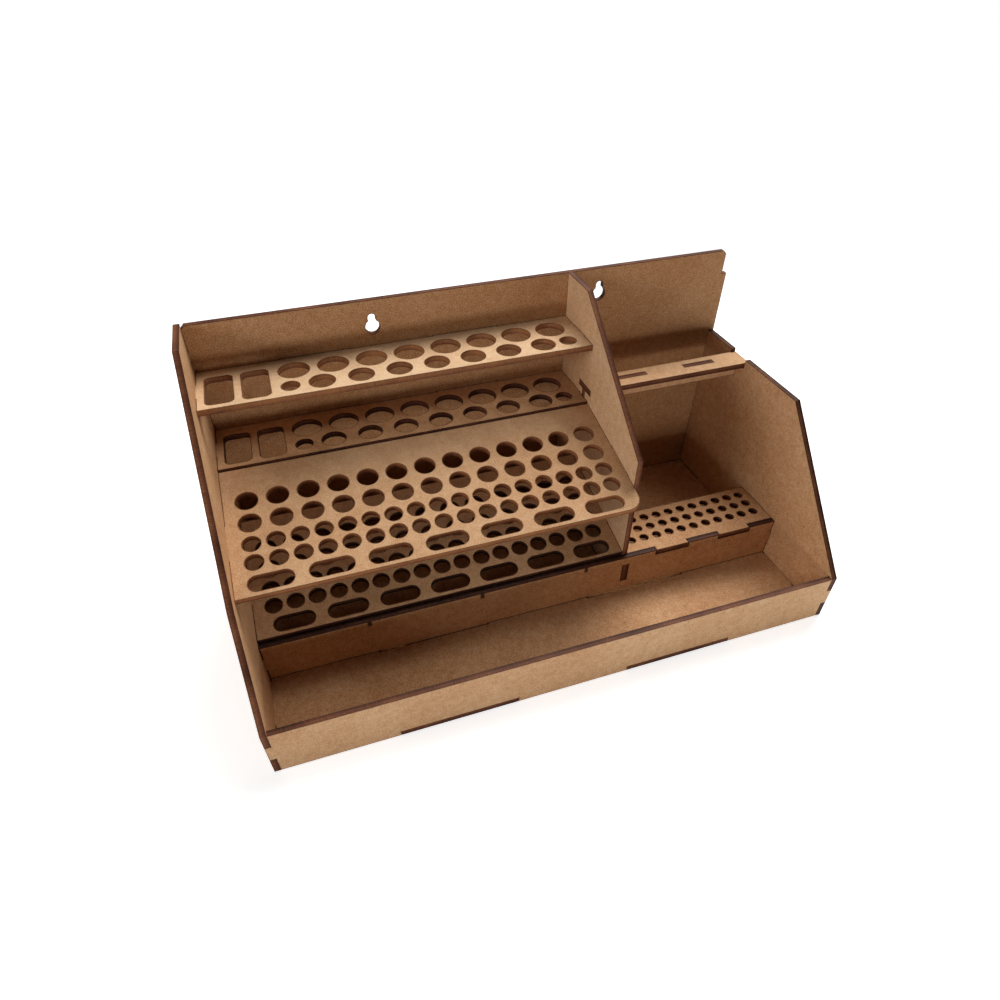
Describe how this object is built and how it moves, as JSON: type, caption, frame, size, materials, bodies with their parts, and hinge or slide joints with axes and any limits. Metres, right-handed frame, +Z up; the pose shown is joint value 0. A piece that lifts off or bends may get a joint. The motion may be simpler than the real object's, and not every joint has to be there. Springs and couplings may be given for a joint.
{
  "type": "hobby workstation organizer",
  "caption": "Desktop tool stand of interlocking fibreboard sheets: an open front tray, sloping perforated racks, perforated shelves, a bay with a pliers bar, and keyholes in the back.",
  "frame": {"origin": "middle of the base, on the surface that the organizer stands on", "axes": "+X to the right along the front, +Y towards the back panel, +Z up"},
  "size_m": [0.3, 0.155, 0.148],
  "materials": {
    "board": "matte, raw fibreboard with scorched cut edges"
  },
  "bodies": {
    "root": {"floor_plate": "board", "front_panel": "board", "back_panel": "board", "left_side": "board", "right_side": "board", "divider": "board", "upper_shelf": "board", "lower_shelf": "board", "main_rack": "board", "lower_rack": "board", "riser": "board", "bit_plate": "board", "pliers_bar": "board", "bar_rail": "board"}
  },
  "joints": []
}
